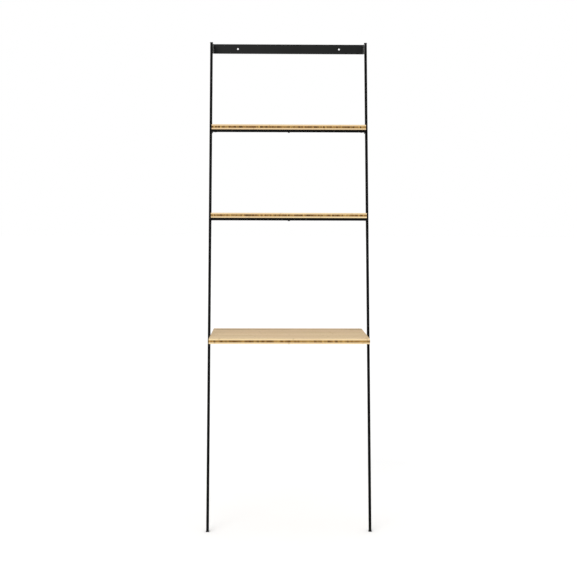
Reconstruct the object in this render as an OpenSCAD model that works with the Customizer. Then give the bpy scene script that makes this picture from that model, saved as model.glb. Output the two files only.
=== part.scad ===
// Ladder shelf. Two slim square-tube posts lean back to the wall. They carry two
// narrow shelves and one deep desk board, and a bent steel bracket screws their
// tops to the wall.
// +X is to the right, +Y is towards the wall and +Z is up. The origin is on the
// floor, in the middle of the overall width and depth.

/* [Overall] */
// Width over the outer faces of the posts
overall_width = 610; // [560:5:700]
// Height of the post tops above the floor
overall_height = 1838; // [1780:1:1900]
// Depth from the wall to the front edge of the desk
overall_depth = 400; // [380:5:440]
// Lean of the posts from upright, in degrees
lean_angle = 11; // [10:0.5:12]
// Distance from the wall to the post's centre line at its top
post_wall_gap = 25; // [20:1:35]

/* [Steel] */
// Outside size of the square tube
tube_size = 10; // [10:0.5:12]
// Wall of the square tube
tube_wall = 1.2; // [1:0.1:1.5]
// Outside corner radius of the square tube
tube_corner = 1.5; // [1.2:0.1:2]
// Thickness of the bent plate parts
plate_t = 3; // [2.5:0.5:3]

/* [Boards] */
// Thickness of every board
board_thick = 19; // [18:1:22]
// Gap between a board's end and the post
board_side_gap = 1; // [0.5:0.5:3]
// Gap between a board's back edge and the wall
board_wall_gap = 2; // [1:1:6]
// Height of the upper shelf's top face
upper_top = 1511; // [1480:1:1540]
// Depth of the upper shelf
upper_depth = 150; // [145:1:170]
// Height of the middle shelf's top face
middle_top = 1175; // [1140:1:1200]
// Depth of the middle shelf
middle_depth = 216; // [210:1:230]
// Height of the desk's top face
desk_top = 717; // [700:1:760]

/* [Shelf frames] */
// Distance from a shelf's front edge to its front rail
shelf_rail_setback = 2; // [0:1:8]
// Distance from the desk's front edge to its front rail
desk_rail_setback = 105; // [95:1:112]
// Width of an arm's flange under the board, with its web
arm_flange = 20; // [18:1:26]
// Depth of an arm's web at the rail
arm_web = 10.5; // [10.5:0.5:12]
// Depth of the desk arm's web at the post
desk_arm_web = 15.5; // [12:0.5:16]
// Distance from a board's back edge to the end of its arms
arm_back_gap = 46; // [40:1:60]

/* [Wall bracket] */
// Height of the bracket's back plate
bracket_height = 37; // [35:1:40]
// Distance from the post tops down to the back plate
bracket_drop = 4; // [3:1:8]
// Length of the bracket's side wings, from the wall
wing_length = 87; // [50:1:95]
// Drop of a wing from the wall to its front end
wing_drop = 9; // [0:1:12]
// Spacing of the two wall screw holes
wall_hole_spacing = 396; // [300:2:440]
// Diameter of the wall screw holes
wall_hole_d = 7; // [5:0.5:8]

/* [Ends] */
// Height of the foot under each post
foot_height = 4; // [3:0.5:6]
// Width of the foot
foot_width = 12; // [12:0.5:14]
// Height of the cap's lip on each post top
cap_height = 2.5; // [2:0.5:4]
// Width of the cap's lip
cap_width = 11; // [10.5:0.5:12]

/* [Hidden] */

$fn = 48;
// Running gap between a fastener or plug and its hole
fit_gap = 0.1;
// Extra length that lets a cut run past a face
cut = 1;

// Places across the width, on the right-hand side
inner_x = overall_width / 2 - tube_size;
post_x = overall_width / 2 - tube_size / 2;
web_x = inner_x - plate_t;
screw_x = inner_x - (arm_flange + plate_t) / 2;
board_half = inner_x - board_side_gap;

// Places from front to back
wall_y = overall_depth / 2;
board_back = wall_y - board_wall_gap;
desk_depth = overall_depth - board_wall_gap;
arm_back = board_back - arm_back_gap;

// Bent corners of the plate parts
bend_in = 1;
bend_out = bend_in + plate_t;

// Plugs in the tube ends
plug_size = tube_size - 2 * tube_wall - fit_gap;
plug_length = 12;

// Bracket bolts and the bushes welded into the posts
bolt_d = 5;
bolt_head_d = 9.5;
bolt_head_h = 2.75;
bolt_hex = 3;
bolt_reach = 8;
bush_d = 7;
bush_length = tube_size - tube_wall - fit_gap;
bolt_pitch = 19;
bracket_top = overall_height - bracket_drop;
bracket_mid = bracket_top - bracket_height / 2 - wing_drop * post_wall_gap / wing_length;
bolt_heights = [bracket_mid - bolt_pitch / 2, bracket_mid + bolt_pitch / 2];

// Countersunk machine screws that hold the rails to the arms
rail_screw_d = 4;
rail_screw_head = 7.8;
rail_screw_cone = 2;
rail_screw_length = 14;
rail_screw_hex = 2.5;

// Pan-head wood screws that hold the boards down
wood_screw_d = 4;
wood_head_d = 8;
wood_head_h = 2.2;
wood_bite = 14;
wood_tip = 3;

// Weld beads where an arm crosses its post
bead_leg = 3;

steel_black = [0.05, 0.05, 0.05];
plate_grey = [0.16, 0.17, 0.165];
zinc_grey = [0.35, 0.35, 0.36];
plastic_black = [0.07, 0.07, 0.07];
bamboo = [0.82, 0.73, 0.58];

// Height of the underside of a board
function under(top_z) = top_z - board_thick;

// Front edge of a board
function front_edge(depth) = board_back - depth;

// Centre of a rail, from the depth of its board and its distance behind the front edge
function rail_centre(depth, setback) = front_edge(depth) + setback + tube_size / 2;

// Centre line of the posts at a height
function post_y(z) = wall_y - post_wall_gap - (overall_height - z) * tan(lean_angle);

// Points of an arc, for rounding an outline
function arc(c, r, from, to, steps = 6) =
    [for (i = [0 : steps]) let (a = from + (to - from) * i / steps) c + r * [cos(a), sin(a)]];

// The rails of each level, by their centres
upper_rails = [rail_centre(upper_depth, shelf_rail_setback)];
middle_rails = [rail_centre(middle_depth, shelf_rail_setback)];
desk_rails = [rail_centre(desk_depth, desk_rail_setback), arm_back + tube_size / 2];

// Places of the wood screws under a board: one at the middle of each rail, two in each arm
function screw_places(rails) = let (
    near = rails[0] + tube_size / 2 + 14,
    far = arm_back - 14
) concat(
    [for (y = rails) [0, y, -tube_size]],
    [for (s = [-1, 1], y = [near, far]) [s * screw_x, y, -plate_t]]
);

// A square with round corners, made of exact arcs
module rounded_square(w, r) {
    square([w - 2 * r, w], center = true);
    square([w, w - 2 * r], center = true);
    for (sx = [-1, 1], sy = [-1, 1])
        translate([sx * (w / 2 - r), sy * (w / 2 - r)]) circle(r = r);
}

module tube_section() {
    difference() {
        rounded_square(tube_size, tube_corner);
        square(tube_size - 2 * tube_wall, center = true);
    }
}

// Moves a child from the post's own axes to the post at a height
module on_post(side, z) {
    translate([side * post_x, post_y(z), z]) rotate([-lean_angle, 0, 0]) children();
}

// Keeps only what lies between two heights
module between_heights(low, high) {
    intersection() {
        children();
        translate([-overall_width, -overall_depth, low])
            cube([2 * overall_width, 2 * overall_depth, high - low]);
    }
}

// Mirrors a right-hand part for the left-hand side
module on_side(side) {
    mirror([side < 0 ? 1 : 0, 0, 0]) children();
}

// Lays a drawing in the Y and Z directions and gives it a thickness along X
module side_plate(x, thick) {
    translate([x, 0, 0]) rotate([90, 0, 90]) linear_extrude(height = thick) children();
}

// Turns a child so that its own Z axis points outwards along X
module outwards() {
    rotate([0, 90, 0]) children();
}

module post(side) {
    color(steel_black) difference() {
        between_heights(foot_height, overall_height - cap_height)
            on_post(side, 0) translate([0, 0, -tube_size])
                linear_extrude(height = overall_height / cos(lean_angle) + 2 * tube_size)
                    tube_section();
        for (z = bolt_heights)
            translate([side * inner_x, post_y(z), z]) outwards()
                cylinder(d = bush_d + fit_gap, h = 2 * (tube_wall + cut), center = true);
    }
}

// The plug that fills a post's end, inside the tube
module post_plug(side, z, low, high) {
    between_heights(low, high)
        on_post(side, z) linear_extrude(height = 4 * plug_length, center = true)
            square(plug_size, center = true);
}

module foot(side) {
    color(plastic_black) {
        translate([side * post_x, post_y(foot_height), 0])
            linear_extrude(height = foot_height) rounded_square(foot_width, 2);
        post_plug(side, foot_height, foot_height / 2, foot_height + plug_length);
    }
}

module post_cap(side) {
    lip_z = overall_height - cap_height;
    color(plastic_black) {
        translate([side * post_x, post_y(lip_z), lip_z])
            linear_extrude(height = cap_height) rounded_square(cap_width, 1.5);
        post_plug(side, lip_z, lip_z - plug_length, lip_z + cap_height / 2);
    }
}

// Fillet beads in front of and behind the post, against the arm's outer face
module weld_beads(side) {
    half = tube_size / 2;
    bead_h = arm_web - 3;
    color(steel_black) for (top_z = [upper_top, middle_top, desk_top])
        on_side(side) on_post(1, under(top_z) - arm_web / 2) for (s = [-1, 1])
            linear_extrude(height = bead_h, center = true)
                polygon([[-half, s * half], [-half, s * (half + bead_leg)], [bead_leg - half, s * half]]);
}

module post_bushes() {
    color(zinc_grey) for (side = [-1, 1], z = bolt_heights)
        on_side(side) translate([inner_x, post_y(z), z]) outwards() difference() {
            cylinder(d = bush_d, h = bush_length);
            translate([0, 0, -cut]) cylinder(d = bolt_d + fit_gap, h = bush_length + 2 * cut);
        }
}

// Outline of the bracket from the side: a square back plate and drooping wings
module bracket_outline() {
    low = bracket_top - bracket_height;
    r = 8;
    tip = wall_y - wing_length;
    polygon(concat(
        [[wall_y, low], [wall_y, bracket_top], [wall_y - bend_out, bracket_top]],
        arc([tip + r, bracket_top - wing_drop - r], r, 90, 180),
        arc([tip + r, low - wing_drop + r], r, 180, 270),
        [[wall_y - bend_out, low]]
    ));
}

// Section of the bracket seen from above, with exact bent corners
module bracket_section() {
    difference() {
        union() {
            translate([-inner_x, wall_y - wing_length])
                square([2 * inner_x, wing_length - bend_out]);
            translate([-inner_x + bend_out, wall_y - 2 * bend_out])
                square([2 * (inner_x - bend_out), 2 * bend_out]);
            for (s = [-1, 1])
                translate([s * (inner_x - bend_out), wall_y - bend_out]) circle(r = bend_out);
        }
        translate([-web_x, wall_y - wing_length - cut])
            square([2 * web_x, wing_length + cut - bend_out]);
        translate([-web_x + bend_in, wall_y - wing_length - cut])
            square([2 * (web_x - bend_in), wing_length + cut - plate_t]);
        for (s = [-1, 1])
            translate([s * (web_x - bend_in), wall_y - bend_out]) circle(r = bend_in);
    }
}

module wall_bracket() {
    color(plate_grey) difference() {
        intersection() {
            translate([0, 0, bracket_top - 2 * bracket_height])
                linear_extrude(height = 3 * bracket_height) bracket_section();
            side_plate(-overall_width / 2, overall_width) bracket_outline();
        }
        for (s = [-1, 1])
            translate([s * wall_hole_spacing / 2, wall_y, bracket_top - bracket_height / 2])
                rotate([90, 0, 0]) cylinder(d = wall_hole_d, h = 2 * (plate_t + cut), center = true);
        for (side = [-1, 1], z = bolt_heights)
            on_side(side) translate([web_x - cut, post_y(z), z]) outwards()
                cylinder(d = bolt_d + 3 * fit_gap, h = plate_t + 2 * cut);
    }
}

// Button-head bolt with a hexagon socket, its head's underside at zero
module button_bolt() {
    dome_r = (pow(bolt_head_d / 2, 2) + pow(bolt_head_h, 2)) / (2 * bolt_head_h);
    difference() {
        union() {
            intersection() {
                translate([0, 0, dome_r - bolt_head_h]) sphere(r = dome_r);
                translate([0, 0, -bolt_head_h]) cylinder(d = bolt_head_d, h = bolt_head_h);
            }
            cylinder(d = bolt_d, h = plate_t + bolt_reach);
        }
        translate([0, 0, -bolt_head_h - cut])
            cylinder(d = bolt_hex / cos(30), h = cut + 0.6 * bolt_head_h, $fn = 6);
    }
}

module bracket_bolts() {
    color(zinc_grey) for (side = [-1, 1], z = bolt_heights)
        on_side(side) translate([web_x, post_y(z), z]) outwards() button_bolt();
}

module board(depth, top_z, rails) {
    color(bamboo) difference() {
        translate([-board_half, front_edge(depth), under(top_z)])
            cube([2 * board_half, depth, board_thick]);
        for (p = screw_places(rails))
            translate([p[0], p[1], under(top_z) - cut])
                cylinder(d = wood_screw_d + fit_gap, h = wood_bite + 2 * cut);
    }
}

module rail(top_z, y) {
    color(steel_black) translate([0, y, under(top_z) - tube_size / 2]) difference() {
        outwards() linear_extrude(height = 2 * web_x, center = true) tube_section();
        cylinder(d = wood_screw_d + 4 * fit_gap, h = 2 * tube_size, center = true);
    }
}

module rail_plugs(top_z, rails) {
    color(zinc_grey) for (side = [-1, 1], y = rails)
        on_side(side) translate([web_x - plug_length, y, under(top_z) - tube_size / 2])
            outwards() difference() {
                linear_extrude(height = plug_length) square(plug_size, center = true);
                translate([0, 0, -cut])
                    cylinder(d = rail_screw_d + fit_gap, h = plug_length + 2 * cut);
            }
}

// Countersunk screw that points inwards, its flat head at zero
module countersunk_screw() {
    difference() {
        union() {
            cylinder(d1 = rail_screw_head, d2 = rail_screw_d, h = rail_screw_cone);
            cylinder(d = rail_screw_d, h = rail_screw_length);
        }
        translate([0, 0, -cut])
            cylinder(d = rail_screw_hex / cos(30), h = cut + 1.5, $fn = 6);
    }
}

module rail_screws(top_z, rails) {
    color(zinc_grey) for (side = [-1, 1], y = rails)
        on_side(side) translate([inner_x, y, under(top_z) - tube_size / 2])
            rotate([0, -90, 0]) countersunk_screw();
}

// Angle section of an arm seen from the front, with its bend at the top outside corner
module arm_section(deepest) {
    inside = arm_flange - plate_t;
    difference() {
        union() {
            translate([web_x - inside, -plate_t]) square([arm_flange - bend_out, plate_t]);
            translate([web_x, -deepest]) square([plate_t, deepest - bend_out]);
            translate([inner_x - bend_out, -bend_out]) circle(r = bend_out);
        }
        translate([web_x - bend_in, -plate_t - bend_in]) circle(r = bend_in);
        translate([web_x - inside - cut, -2 * deepest - plate_t])
            square([inside - bend_in + cut, 2 * deepest]);
        translate([web_x - inside - cut, -2 * deepest - bend_out])
            square([inside + cut, 2 * deepest]);
    }
}

// Outline of a shelf arm's web: level from the rail to the post, then cut up to the flange
module shelf_arm_outline(top_z, front) {
    heel = post_y(under(top_z)) + tube_size / 2 + 4;
    polygon([[front, 0], [front, -arm_web], [heel, -arm_web], [heel + arm_web - plate_t, -plate_t],
        [arm_back, -plate_t], [arm_back, 0]]);
}

// Outline of the desk arm's web: deepest at the post, and level with the rails at its ends
module desk_arm_outline(front) {
    post_at = post_y(under(desk_top));
    back = arm_back + tube_size;
    polygon([[front, 0], [front, -arm_web], [post_at - tube_size, -desk_arm_web],
        [post_at + tube_size, -desk_arm_web], [back, -arm_web], [back, 0]]);
}

// An arm: its section runs from front to back, inside the outline given as a child
module arm(side, top_z, rails, deepest) {
    rail_front = rails[0] - tube_size / 2;
    arm_end = len(rails) > 1 ? arm_back + tube_size : arm_back;
    z = under(top_z);
    color(steel_black) on_side(side) translate([0, 0, z]) difference() {
        intersection() {
            translate([0, arm_end, 0]) rotate([90, 0, 0])
                linear_extrude(height = arm_end - rail_front) arm_section(deepest);
            side_plate(web_x - arm_flange, 2 * arm_flange) children();
        }
        for (y = rails) {
            translate([web_x - arm_flange, y - tube_size / 2 - cut, -tube_size])
                cube([arm_flange, tube_size + cut + (y == rails[0] ? 0 : cut), 2 * tube_size]);
            translate([inner_x, y, -tube_size / 2]) rotate([0, -90, 0]) {
                cylinder(d1 = rail_screw_head + fit_gap, d2 = rail_screw_d + fit_gap, h = rail_screw_cone);
                cylinder(d = rail_screw_d + 3 * fit_gap, h = 2 * plate_t);
            }
        }
        for (p = screw_places(rails)) if (p[0] > 0)
            translate([p[0], p[1], -2 * plate_t])
                cylinder(d = wood_screw_d + 4 * fit_gap, h = 3 * plate_t);
    }
}

// Pan-head wood screw that points up, its head's upper face at zero
module wood_screw(length) {
    difference() {
        union() {
            translate([0, 0, -wood_head_h]) cylinder(d1 = 0.7 * wood_head_d, d2 = wood_head_d, h = 0.8);
            translate([0, 0, 0.8 - wood_head_h]) cylinder(d = wood_head_d, h = wood_head_h - 0.8);
            cylinder(d = wood_screw_d, h = length - wood_tip);
            translate([0, 0, length - wood_tip]) cylinder(d1 = wood_screw_d, d2 = 1, h = wood_tip);
        }
        for (a = [0, 90]) rotate([0, 0, a]) translate([0, 0, -wood_head_h])
            cube([4.4, 0.9, 2.6], center = true);
    }
}

module board_screws(top_z, rails) {
    color(zinc_grey) for (p = screw_places(rails))
        translate([p[0], p[1], under(top_z) + p[2]]) wood_screw(wood_bite - p[2]);
}

post(-1);  // left_post
post(1);  // right_post
foot(-1);  // left_foot
foot(1);  // right_foot
post_cap(-1);  // left_post_cap
post_cap(1);  // right_post_cap
weld_beads(-1);  // left_weld_beads
weld_beads(1);  // right_weld_beads
post_bushes();
wall_bracket();
bracket_bolts();

board(upper_depth, upper_top, upper_rails);  // upper_shelf_board
rail(upper_top, upper_rails[0]);  // upper_front_rail
arm(-1, upper_top, upper_rails, arm_web) shelf_arm_outline(upper_top, upper_rails[0] - tube_size / 2);  // upper_left_arm
arm(1, upper_top, upper_rails, arm_web) shelf_arm_outline(upper_top, upper_rails[0] - tube_size / 2);  // upper_right_arm
rail_plugs(upper_top, upper_rails);  // upper_rail_plugs
rail_screws(upper_top, upper_rails);  // upper_rail_screws
board_screws(upper_top, upper_rails);  // upper_board_screws

board(middle_depth, middle_top, middle_rails);  // middle_shelf_board
rail(middle_top, middle_rails[0]);  // middle_front_rail
arm(-1, middle_top, middle_rails, arm_web) shelf_arm_outline(middle_top, middle_rails[0] - tube_size / 2);  // middle_left_arm
arm(1, middle_top, middle_rails, arm_web) shelf_arm_outline(middle_top, middle_rails[0] - tube_size / 2);  // middle_right_arm
rail_plugs(middle_top, middle_rails);  // middle_rail_plugs
rail_screws(middle_top, middle_rails);  // middle_rail_screws
board_screws(middle_top, middle_rails);  // middle_board_screws

board(desk_depth, desk_top, desk_rails);  // desk_board
rail(desk_top, desk_rails[0]);  // desk_front_rail
rail(desk_top, desk_rails[1]);  // desk_back_rail
arm(-1, desk_top, desk_rails, desk_arm_web) desk_arm_outline(desk_rails[0] - tube_size / 2);  // desk_left_arm
arm(1, desk_top, desk_rails, desk_arm_web) desk_arm_outline(desk_rails[0] - tube_size / 2);  // desk_right_arm
rail_plugs(desk_top, desk_rails);  // desk_rail_plugs
rail_screws(desk_top, desk_rails);  // desk_rail_screws
board_screws(desk_top, desk_rails);  // desk_board_screws
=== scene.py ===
"""The looks of a leaning ladder shelf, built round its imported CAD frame.

Two slim black posts lean back to the wall and carry two narrow bamboo shelves and one
deep bamboo desk board. All sizes are in metres and all places are in the CAD frame: +X to
the right, +Y to the wall, +Z up, with the origin on the floor under the middle.

The tubes, plugs and bushes keep their CAD meshes. The boards, plate parts, welds, screws,
bolts, feet and caps are modelled here, each in the room that its CAD node holds.
"""

import bisect
import logging
import math
import random
from collections.abc import Callable, Iterable, Sequence
from dataclasses import dataclass, field
from enum import Enum
from typing import Any

import bmesh
import bpy
from mathutils import Matrix, Vector


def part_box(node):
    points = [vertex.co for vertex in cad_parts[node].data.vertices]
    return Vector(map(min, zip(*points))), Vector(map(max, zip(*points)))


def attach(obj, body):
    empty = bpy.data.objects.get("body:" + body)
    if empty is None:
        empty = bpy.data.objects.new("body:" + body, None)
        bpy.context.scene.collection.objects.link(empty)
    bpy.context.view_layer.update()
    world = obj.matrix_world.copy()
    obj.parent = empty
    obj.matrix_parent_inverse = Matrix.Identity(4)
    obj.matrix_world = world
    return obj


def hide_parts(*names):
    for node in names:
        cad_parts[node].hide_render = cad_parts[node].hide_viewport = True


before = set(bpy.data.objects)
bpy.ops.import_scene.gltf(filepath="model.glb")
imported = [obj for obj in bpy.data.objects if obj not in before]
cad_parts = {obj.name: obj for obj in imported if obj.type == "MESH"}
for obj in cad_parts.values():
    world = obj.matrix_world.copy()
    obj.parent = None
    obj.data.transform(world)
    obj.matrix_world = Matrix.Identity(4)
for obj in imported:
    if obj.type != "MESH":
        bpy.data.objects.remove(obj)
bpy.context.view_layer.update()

MM = 0.001
# How far off a plane a place may be and still count as on it.
ON_PLANE = 0.01 * MM
# How far the posts lean from upright.
LEAN = math.radians(11.0)
# The attribute that holds each strip's tone, shift, tint and glue line.
STRIP = "strip"
BODY = "root"

logging.basicConfig(level=logging.INFO, format="%(levelname)s %(message)s")
log = logging.getLogger("ladder_shelf")

Colour = tuple[float, float, float]
Place = Callable[[Vector, Vector], bool]


class Side(Enum):
    """Which post a part belongs to; the value is the sign of its X."""

    LEFT = -1
    RIGHT = 1


class Slot(Enum):
    """The record's material slots."""

    STEEL = "powder_coat"
    BAMBOO_FACE = "bamboo_face"
    BAMBOO_CORE = "bamboo_core"
    SCREWS = "black_hardware"
    ZINC = "zinc_hardware"
    NYLON = "black_plastic"


class Grain(Enum):
    """The direction that a ply's bamboo strips run in, as an index of X, Y and Z."""

    ACROSS = 0
    DEPTH = 1


# ---- Shader maths ----


class Value:
    """A number that varies over a surface. Operators on it add Math nodes to its tree."""

    def __init__(self, tree: "Tree", socket: bpy.types.NodeSocket) -> None:
        """Wraps an output socket of a tree."""
        self.tree = tree
        self.socket = socket

    def __add__(self, other: "Value | float") -> "Value":
        """Self plus other."""
        return self.tree.math("ADD", self, other)

    def __radd__(self, other: float) -> "Value":
        """Other plus self."""
        return self.tree.math("ADD", other, self)

    def __sub__(self, other: "Value | float") -> "Value":
        """Self minus other."""
        return self.tree.math("SUBTRACT", self, other)

    def __rsub__(self, other: float) -> "Value":
        """Other minus self."""
        return self.tree.math("SUBTRACT", other, self)

    def __mul__(self, other: "Value | float") -> "Value":
        """Self times other."""
        return self.tree.math("MULTIPLY", self, other)

    def __rmul__(self, other: float) -> "Value":
        """Other times self."""
        return self.tree.math("MULTIPLY", other, self)

    def __truediv__(self, other: "Value | float") -> "Value":
        """Self over other."""
        return self.tree.math("DIVIDE", self, other)

    def __rtruediv__(self, other: float) -> "Value":
        """Other over self."""
        return self.tree.math("DIVIDE", other, self)

    def __abs__(self) -> "Value":
        """Self without its sign."""
        return self.tree.math("ABSOLUTE", self)

    def fraction(self) -> "Value":
        """What is left of self above the whole number below it."""
        return self.tree.math("FRACT", self)

    def step(self, low: float, high: float) -> "Value":
        """A smooth step between two numbers.

        Args:
            low: Where it is 0.
            high: Where it is 1, which may be below low.

        Returns:
            The step.
        """
        ranged = self.tree.node(
            "ShaderNodeMapRange",
            {"interpolation_type": "SMOOTHSTEP"},
            {"Value": self, "From Min": low, "From Max": high},
        )
        return self.tree.value(ranged, "Result")


class Tree:
    """The node tree of one material."""

    def __init__(self, name: str) -> None:
        """Makes an empty material.

        Args:
            name: The material's name.
        """
        self.material = bpy.data.materials.new(name)
        self.material.use_nodes = True
        self.nodes = self.material.node_tree.nodes
        self.links = self.material.node_tree.links
        self.nodes.clear()

    def node(
        self,
        kind: str,
        settings: dict[str, Any] | None = None,
        sockets: dict[str | int, Any] | None = None,
    ) -> bpy.types.Node:
        """Adds a node.

        Args:
            kind: The node's type name.
            settings: Its properties, set first. "stops" are a ramp's places and colours.
            sockets: Numbers, colours, Values or output sockets for its inputs, by name.

        Returns:
            The new node.
        """
        made = self.nodes.new(kind)
        for key, setting in (settings or {}).items():
            if key == "stops":
                self._set_stops(made, setting)
            else:
                setattr(made, key, setting)
        for key, given in (sockets or {}).items():
            self._feed(self._find(made.inputs, key), given)
        return made

    @staticmethod
    def _set_stops(ramp: bpy.types.Node, stops: Sequence[tuple[float, Colour]]) -> None:
        """Gives a ramp its stops.

        Args:
            ramp: The ramp's node.
            stops: The place and colour of each stop.
        """
        elements = ramp.color_ramp.elements
        while len(elements) < len(stops):
            elements.new(1.0)
        for element, (place, colour) in zip(elements, stops):
            element.position = place
            element.color = (*colour, 1.0)

    @staticmethod
    def _find(sockets: Any, key: str | int) -> bpy.types.NodeSocket:
        """Finds one of a node's sockets.

        Args:
            sockets: The node's inputs or outputs.
            key: A name, identifier or index.

        Returns:
            The socket.
        """
        if isinstance(key, int):
            return sockets[key]
        for socket in sockets:
            if socket.identifier == key:
                return socket
        return sockets[key]

    def _feed(self, socket: bpy.types.NodeSocket, given: Any) -> None:
        """Links or sets one input.

        Args:
            socket: The input.
            given: A Value or socket to link, or a number or colour to set.
        """
        if isinstance(given, Value):
            self.links.new(given.socket, socket)
        elif isinstance(given, bpy.types.NodeSocket):
            self.links.new(given, socket)
        elif isinstance(given, tuple) and socket.type == "RGBA":
            socket.default_value = (*given, 1.0)
        else:
            socket.default_value = given

    def out(self, node: bpy.types.Node, key: str | int = 0) -> bpy.types.NodeSocket:
        """An output socket of a node."""
        return self._find(node.outputs, key)

    def value(self, node: bpy.types.Node, key: str | int = 0) -> Value:
        """An output of a node as a Value."""
        return Value(self, self.out(node, key))

    def math(self, operation: str, *terms: "Value | float") -> Value:
        """A Math node on one or two terms."""
        made = self.node("ShaderNodeMath", {"operation": operation}, dict(enumerate(terms)))
        return self.value(made)

    def split(self, vector: bpy.types.NodeSocket) -> tuple[Value, Value, Value]:
        """The X, Y and Z of a vector."""
        made = self.node("ShaderNodeSeparateXYZ", sockets={0: vector})
        return self.value(made, 0), self.value(made, 1), self.value(made, 2)

    def vector(self, x: Value | float, y: Value | float, z: Value | float) -> bpy.types.NodeSocket:
        """A vector from its X, Y and Z."""
        return self.out(self.node("ShaderNodeCombineXYZ", sockets={0: x, 1: y, 2: z}))

    def place(self) -> bpy.types.NodeSocket:
        """The point on the piece, in metres."""
        return self.out(self.node("ShaderNodeTexCoord"), "Object")

    def facing(self) -> tuple[Value, Value, Value]:
        """The direction that the surface faces, as X, Y and Z."""
        return self.split(self.out(self.node("ShaderNodeTexCoord"), "Normal"))

    def noise(self, at: bpy.types.NodeSocket, scale: float, detail: float = 2.0) -> Value:
        """Smooth noise around 0.5 with that many cells a unit."""
        sockets = {"Vector": at, "Scale": scale, "Detail": detail}
        return self.value(self.node("ShaderNodeTexNoise", sockets=sockets), "Fac")

    def drawn(self, at: Sequence[Value], along: float, across: float, detail: float = 2.0) -> Value:
        """Noise drawn out along X, with that many cells a unit along it and across it."""
        x, y, z = at
        return self.noise(self.vector(x * along, y * across, z * across), 1.0, detail)

    def dots(self, at: bpy.types.NodeSocket, scale: float) -> Value:
        """The distance to the nearest of many scattered points, in cells."""
        made = self.node("ShaderNodeTexVoronoi", sockets={"Vector": at, "Scale": scale})
        return self.value(made, "Distance")

    def mix(self, factor: Value | float, first: Any, second: Any) -> bpy.types.NodeSocket:
        """A colour between two colours.

        Args:
            factor: The share of the second colour.
            first: A colour or its socket.
            second: A colour or its socket.

        Returns:
            The mixed colour's socket.
        """
        made = self.node(
            "ShaderNodeMix",
            {"data_type": "RGBA", "clamp_factor": True},
            {"Factor_Float": factor, "A_Color": first, "B_Color": second},
        )
        return self.out(made, "Result_Color")

    def bump(self, height: Value, depth: float, strength: float) -> bpy.types.NodeSocket:
        """A normal from a height that runs from 0 to 1 over that depth."""
        sockets = {"Height": height, "Distance": depth, "Strength": strength}
        return self.out(self.node("ShaderNodeBump", sockets=sockets))

    def finish(self, **sockets: Any) -> bpy.types.Material:
        """Ends the tree in a Principled shader.

        Args:
            sockets: Its inputs, with _ for a space in a name.

        Returns:
            The finished material.
        """
        named = {key.replace("_", " "): given for key, given in sockets.items()}
        surface = self.node("ShaderNodeBsdfPrincipled", sockets=named)
        self.node("ShaderNodeOutputMaterial", sockets={"Surface": self.out(surface)})
        return self.material


# ---- Finishes ----


@dataclass(frozen=True)
class PowderCoat:
    """Baked-on paint: a fine orange peel, faint clouds and a little dust on top faces.

    Where the painted-sheen amount is above 0, a painted sheen lightens the faces that look inwards,
    standing in for the light that they catch.
    """

    name: str
    colour: Colour
    dusty: Colour = (0.03, 0.03, 0.029)
    roughness: float = 0.42
    gloss: float = 0.2
    # The colour and amount of a painted sheen on the faces that look inwards.
    painted_sheen_colour: Colour = (0.1, 0.104, 0.1)
    painted_sheen: float = 0.0

    def material(self) -> bpy.types.Material:
        """Makes the finish's material.

        Returns:
            The material.
        """
        tree = Tree(self.name)
        at = tree.place()
        peel = tree.noise(at, scale=1100.0)
        clouds = tree.noise(at, scale=11.0, detail=4.0)
        speck = tree.noise(at, scale=5200.0, detail=1.0)
        sideways, _, up = tree.facing()
        dust = up.step(0.4, 1.0) * tree.noise(at, scale=42.0, detail=5.0).step(0.38, 0.72)
        shade = tuple(0.7 * part for part in self.colour)
        base = tree.mix(clouds.step(0.3, 0.7), shade, self.colour)
        base = tree.mix(speck.step(0.66, 0.8) * 0.2, base, self.dusty)
        base = tree.mix(dust * 0.35, base, self.dusty)
        # Painted sheen: faces that look inwards are lightened towards a pale grey, standing in for
        # the light that they catch.
        inward_sheen = (tree.split(at)[0] * sideways).step(-0.12, -0.26)
        base = tree.mix(inward_sheen * self.painted_sheen * (0.6 + clouds * 0.5), base, self.painted_sheen_colour)
        rough = self.roughness + (clouds - 0.5) * 0.16 + (peel - 0.5) * 0.08 + dust * 0.12
        return tree.finish(
            Base_Color=base,
            Roughness=rough,
            Specular_IOR_Level=self.gloss,
            Normal=tree.bump(peel, 0.1 * MM, 0.35),
        )


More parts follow.
